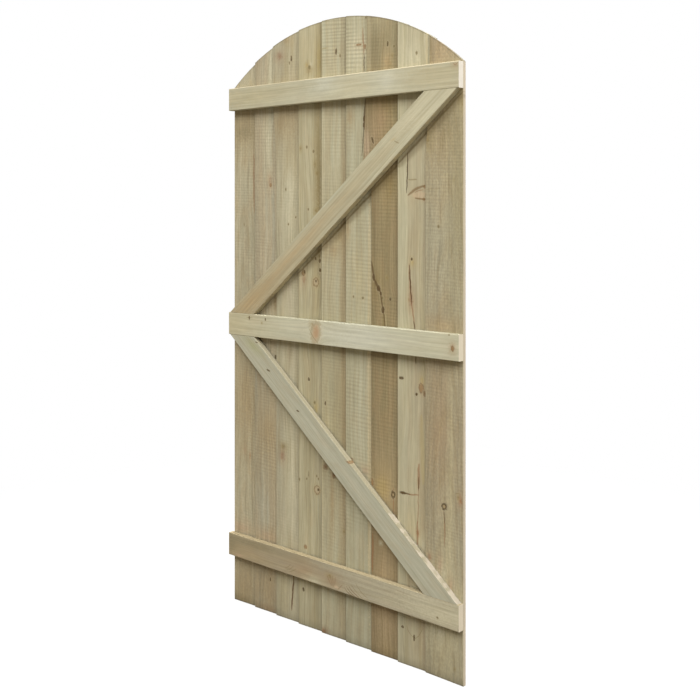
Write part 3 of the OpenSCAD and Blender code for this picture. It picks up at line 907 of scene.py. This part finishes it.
place = put(VECTOR_MATH, {0: given["Into"], "Scale": depth}, "SCALE")
place = put(VECTOR_MATH, [run, place], "ADD")
place = put(VECTOR_MATH, [place, put(COMBINE, {"Z": up})], "ADD")
front = put(SEPARATE, [given["Foot"]]).node.outputs["Y"]
front = put(COMBINE, {"X": -1.0, "Y": front, "Z": 0.0})
place = put(VECTOR_MATH, [place, front], "MAXIMUM")
grain = put(COMBINE, {"X": up, "Y": across, "Z": depth})
grain = put(VECTOR_MATH, {0: grain, "Scale": 1 / MM}, "SCALE")
to_arch = put(MATH, [top, up], "SUBTRACT")
rim = put(MATH, [up, to_arch], "MINIMUM")
rim = put(MATH, [rim, 1 / MM], "MULTIPLY")
solid = lattice
for label, value, kind in (("grain", grain, "FLOAT_VECTOR"), ("saw", saw, "FLOAT"), ("rim", rim, "FLOAT")):
    solid = put("GeometryNodeStoreNamedAttribute", {"Geometry": solid, "Name": label, "Value": value},
                data_type=kind, domain="POINT")
solid = put("GeometryNodeSetPosition", {"Geometry": solid, "Position": place})
conclude(board_tree, solid, given["Finish"], "Board")
print("board tree", len(board_tree.nodes), "nodes")

# %% [markdown]
# The tree is run once for each board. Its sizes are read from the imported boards:
# the last board lies flat, so its box gives the wedge's width and thickness,
# and the depth of every other box gives its lean.
# The result is turned into a plain mesh, so that nothing has to be computed again when the gate is used.


# %% Build the boards
def bake(name, tree, values):
    """Runs a tree, keeps the result as a plain mesh and puts it in the place of its node."""
    piece = bpy.data.objects.new(name + "_looks", bpy.data.meshes.new(name))
    bpy.context.scene.collection.objects.link(piece)
    maker = piece.modifiers.new(tree.name, "NODES")
    maker.node_group = tree
    for socket in tree.interface.items_tree:
        if socket.in_out == "INPUT":
            maker[socket.identifier] = values[socket.name]
    made = piece.evaluated_get(bpy.context.evaluated_depsgraph_get())
    mesh = bpy.data.meshes.new_from_object(made)
    piece.modifiers.remove(maker)
    piece.data = mesh
    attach(piece, "root")
    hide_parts(name)
    return piece


THIN_EDGE = 4 * MM
NO_WANDER = (0.0, 0.0)
EDGE_WANDERS = {3: (0.0, 16 * MM), 7: (30 * MM, 17 * MM), 9: (0.0, -14 * MM)}
SAW_DEPTH = 1.2 * MM
flat_low, flat_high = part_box("board_9")
board_width = flat_high.x - flat_low.x
thick_edge = flat_high.y - flat_low.y
arch_top = cad_high.z
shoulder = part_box("top_ledge")[1].z
half_width = cad_high.x
arch_rise = arch_top - shoulder
arch_radius = (half_width ** 2 + arch_rise ** 2) / (2 * arch_rise)
triangles = 0
for number, look in enumerate(BOARD_LOOKS, start=1):
    low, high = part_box(f"board_{number}")
    deep = high.y - low.y
    lean = math.asin(deep / math.hypot(board_width, thick_edge)) - math.atan(thick_edge / board_width)
    left = low.x + math.sin(lean) * THIN_EDGE
    at_brace, at_top = EDGE_WANDERS.get(number, NO_WANDER)
    board = bake(f"board_{number}", board_tree, {
        "Foot": (left, low.y, 0), "Across": (math.cos(lean), math.sin(lean), 0),
        "Into": (-math.sin(lean), math.cos(lean), 0), "Width": board_width, "Thin edge": THIN_EDGE,
        "Thick edge": thick_edge, "Arch radius": arch_radius, "Arch centre": arch_top - arch_radius,
        "Saw pitch": look["pitch"] * MM, "Saw depth": SAW_DEPTH * look.get("saw", 0.0),
        "Edge at brace": at_brace, "Edge at top": at_top, "Seed": float(number),
        "Finish": board_woods[number - 1]})
    triangles += 2 * len(board.data.polygons)
    print(board.name, "leans", round(math.degrees(lean), 2), "degrees")
print("triangles in the boards", triangles)

# %% [markdown]
# ## Ledges and braces
# The rails are planed bars with rounded arrises. Three ledges lie level across the boards,
# and two braces run between them on a slant with their ends cut level, so that they push against the ledges.
# One tree makes them all: a rounded rectangle is swept along a line,
# the bar is sheared until its ends lie level once it is turned, and then it is turned and moved to its place.

# %% The rail tree
ARRIS_ROUND = 2 * MM
ARRIS_STEPS = 4
RAIL_STEPS = 121
rail_tree, given = begin(
    "planed rail", "GeometryNodeTree",
    {"Length": FLOAT, "Width": FLOAT, "Thickness": FLOAT, "Arris": FLOAT, "Shear": FLOAT, "Turn": FLOAT,
     "Middle": VECTOR, "Finish": "NodeSocketMaterial"}, ("Rail", "NodeSocketGeometry"))
put = partial(add, rail_tree)
rail_tree.is_modifier = True
half = put(MATH, [given["Length"], 0.5], "MULTIPLY")
back = put(MATH, [given["Length"], -0.5], "MULTIPLY")
line = put("GeometryNodeCurvePrimitiveLine",
           {"Start": put(COMBINE, {"X": back}), "End": put(COMBINE, {"X": half})})
line = put("GeometryNodeResampleCurve", {"Curve": line, "Count": RAIL_STEPS})
section = put("GeometryNodeCurvePrimitiveQuadrilateral",
              {"Width": given["Thickness"], "Height": given["Width"]})
section = put("GeometryNodeFilletCurve", {"Curve": section, "Radius": given["Arris"], "Count": ARRIS_STEPS},
              mode="POLY")
bar = put("GeometryNodeCurveToMesh", {"Curve": line, "Profile Curve": section, "Fill Caps": True})
spot = put(SEPARATE, [put("GeometryNodeInputPosition")]).node.outputs
grain = put(COMBINE, {"X": spot["X"], "Y": spot["Z"], "Z": spot["Y"]})
low_corner = put(COMBINE, {"X": half})
sizes = put(COMBINE, {"Y": given["Width"], "Z": given["Thickness"]})
sizes = put(VECTOR_MATH, {0: sizes, "Scale": 0.5}, "SCALE")
grain = put(VECTOR_MATH, [grain, low_corner], "ADD")
grain = put(VECTOR_MATH, [grain, sizes], "ADD")
grain = put(VECTOR_MATH, {0: grain, "Scale": 1 / MM}, "SCALE")
bar = put("GeometryNodeStoreNamedAttribute", {"Geometry": bar, "Name": "grain", "Value": grain},
          data_type="FLOAT_VECTOR", domain="POINT")
slide = put(MATH, [spot["Z"], given["Shear"]], "MULTIPLY")
bar = put("GeometryNodeSetPosition", {"Geometry": bar, "Offset": put(COMBINE, {"X": slide})})
bar = put("GeometryNodeTransform",
          {"Geometry": bar, "Translation": given["Middle"], "Rotation": put(COMBINE, {"Y": given["Turn"]})})
conclude(rail_tree, bar, given["Finish"], "Rail")
print("rail tree", len(rail_tree.nodes), "nodes")

# %% [markdown]
# The rails are paler and smoother than the boards, with a few bold knots.
# Along a rail, a knot's first number is its distance from the left end,
# and its second is its distance from the lower edge.

# %% Build the rails
RAIL_LOOKS = {
    "top_ledge": dict(
        main="#b4b29c", second="#afac94", late="#a4966c", pith=(30, -120), ring=9, taper=0.02,
        # Painted highlight along the top arris.
        end="#fbf6ec", upper=("#d8cdae", 0.85, 3.0),
        knots=[(130, 35, 230, 50, "straw"), (540, 35, 130, 60, "cream"), (420, 50, 46, 26, "frost"),
               (657, 42, 40, 40, "frost"), (820, 35, 130, 50, "straw"), (890, 61, 12, 9, "clay")],
        streaks=[(883, 66, 890, 59, 2.2, "fan"), (897, 66, 890, 59, 2.2, "fan")]),
    "middle_ledge": dict(
        main="#bbb79d", second="#b5b298", late="#a3976d", pith=(40, -90), ring=10, taper=0.03,
        end="#eee4cf",
        knots=[(20, 35, 110, 60, "straw"), (540, 35, 190, 60, "frost"), (96, 58, 3, 5, "dead"),
               (169, 58, 3, 4, "dead"), (153, 46, 4, 4, "shade"), (371, 57, 12, 12, "tan"),
               (388, 35, 13, 20, "russet"), (384, 34, 19, 34, "oval", 12), (880, 33, 10, 14, "russet"),
               (880, 32, 5, 8, "live"), (869, 67, 3, 2, "pin")],
        streaks=[(82, 58, 114, 58, 2.0, "olive"), (358, 46, 392, 6, 3.0, "olive", 4)]),
    "bottom_ledge": dict(
        main="#a39a86", second="#9b937d", late="#8f7f5a", pith=(60, -60), ring=9, taper=0.05, end="#eee4cf",
        # Painted highlight on the top edge, and painted shade where the ledge meets the boards.
        upper=("#b1a280", 0.8, 1.2), seam_shade=0.75,
        knots=[(60, 22, 220, 50, "tan"), (110, 58, 150, 14, "mould"), (10, 36, 40, 44, "mould"),
               (860, 40, 260, 60, "cream"), (340, 24, 60, 26, "clay"), (380, 8, 36, 12, "cream"),
               (46, 8, 26, 7, "blush"), (452, 24, 32, 20, "clay"), (467, 11, 10, 6, "flesh"),
               (440, 36, 12, 8, "shade"), (831, 20, 4, 3, "pin")],
        streaks=[(448, 8, 428, 38, 2.6, "fan"), (452, 8, 440, 42, 2.6, "fan"),
                 (456, 8, 452, 42, 2.6, "fan"), (460, 10, 464, 40, 2.6, "fan"),
                 (470, 4, 492, 22, 2.6, "fan"), (256, 18, 280, 34, 2.4, "olive", 3),
                 (262, 13, 292, 30, 2.4, "olive", 3), (272, 10, 302, 25, 2.4, "olive", 3),
                 (498, 18, 530, 1, 3.0, "branch", 4), (506, 23, 542, 1, 3.0, "branch", 4),
                 (514, 28, 556, 2, 3.0, "branch", 4), (524, 33, 570, 4, 2.6, "olive", 4),
                 (540, 40, 590, 8, 2.4, "olive", 4)]),
    "upper_brace": dict(
        main="#b2af96", second="#aca78d", late="#a18d63", pith=(-20, -40), ring=9, taper=0.01,
        knots=[(60, 34, 220, 60, "tan"), (930, 36, 200, 60, "cream"), (60, 40, 50, 18, "amber"),
               (330, 38, 300, 15, "amber"), (813, 41, 6, 3, "amber")],
        # The cream streak along the lower edge is painted light on the brace's underside.
        streaks=[(795, 20, 808, 36, 3.4, "olive"), (0, -1, 1100, -1, 3.0, "cream")]),
    "lower_brace": dict(
        main="#aeac97", second="#a9a792", late="#9c9570", pith=(90, -60), ring=11, taper=0.01,
        # Painted shade on the top edge, and where the brace meets the boards.
        upper=("#9e957c", 0.75, 1.2), seam_shade=0.5,
        knots=[(154, 36, 5, 4, "dead"), (325, 33, 4, 3, "dead"), (25, 66, 3, 3, "dead"),
               (515, 68, 6, 4, "live"), (45, 46, 34, 14, "moss")],
        # Painted highlight along the top edge at the right end.
        streaks=[(680, 70.5, 1100, 70.5, 2.4, "chalk")]),
}
FIRST_RAIL_SEED = 20
for number, (name, look) in enumerate(RAIL_LOOKS.items(), start=FIRST_RAIL_SEED):
    low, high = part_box(name)
    slant = brace_slant(name) if "brace" in name else 0.0
    falls = -1 if name == "lower_brace" else 1
    wood = softwood("planed treated softwood " + name, number, end_axis=(0 if slant else 1, 0, 0), line=0.2,
                    sway=14.0, fibres=0.07, **look)
    rail = bake(name, rail_tree, {
        "Length": (high.z - low.z) / math.sin(slant) if slant else high.x - low.x, "Width": rail_w,
        "Thickness": high.y - low.y, "Arris": ARRIS_ROUND,
        "Shear": -falls / math.tan(slant) if slant else 0.0, "Turn": -falls * slant,
        "Middle": (low + high) / 2, "Finish": wood})
    print(rail.name, "slants", round(math.degrees(slant * falls), 2), "degrees")

# %% [markdown]
# ## Nails
# The boards are nailed through from their far side, so the heads show only there.
# Galvanised steel is zinc that has frozen in crystals:
# a dull blue-grey with patches a little lighter or darker.

# %% Galvanised nails
CRYSTAL = 1.5 * MM
ZINC_ROUGHNESS = (0.38, 0.55)
zinc = bpy.data.materials.new("galvanised steel")
zinc.use_nodes = True
put = partial(add, zinc.node_tree)
where = put("ShaderNodeTexCoord").node.outputs["Object"]
crystal = put("ShaderNodeTexVoronoi", {"Vector": where, "Scale": 1 / CRYSTAL})
flake = put("ShaderNodeSeparateColor", [crystal.node.outputs["Color"]])
tint = put(MIX, {"Factor": flake, "A": linear("#8d9194"), "B": linear("#b3b7b9")}, data_type="RGBA")
rough = put(MAP_RANGE, {"Value": flake, "To Min": ZINC_ROUGHNESS[0], "To Max": ZINC_ROUGHNESS[1]})
metal = zinc.node_tree.nodes["Principled BSDF"]
metal.inputs["Metallic"].default_value = 1.0
zinc.node_tree.links.new(tint, metal.inputs["Base Color"])
zinc.node_tree.links.new(rough, metal.inputs["Roughness"])
nails = [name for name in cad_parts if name.endswith("nails")]
for name in nails:
    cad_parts[name].data.materials.clear()
    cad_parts[name].data.materials.append(zinc)
print("nail groups", nails)

# %% [markdown]
# ## The dressed gate's size
# The dressed gate has to be as large as the imported one, so its box is printed too, as the imported one was
# at the start.

# %% Sizes
low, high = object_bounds()
print("dressed box in mm", [round(side / MM, 1) for side in high - low])
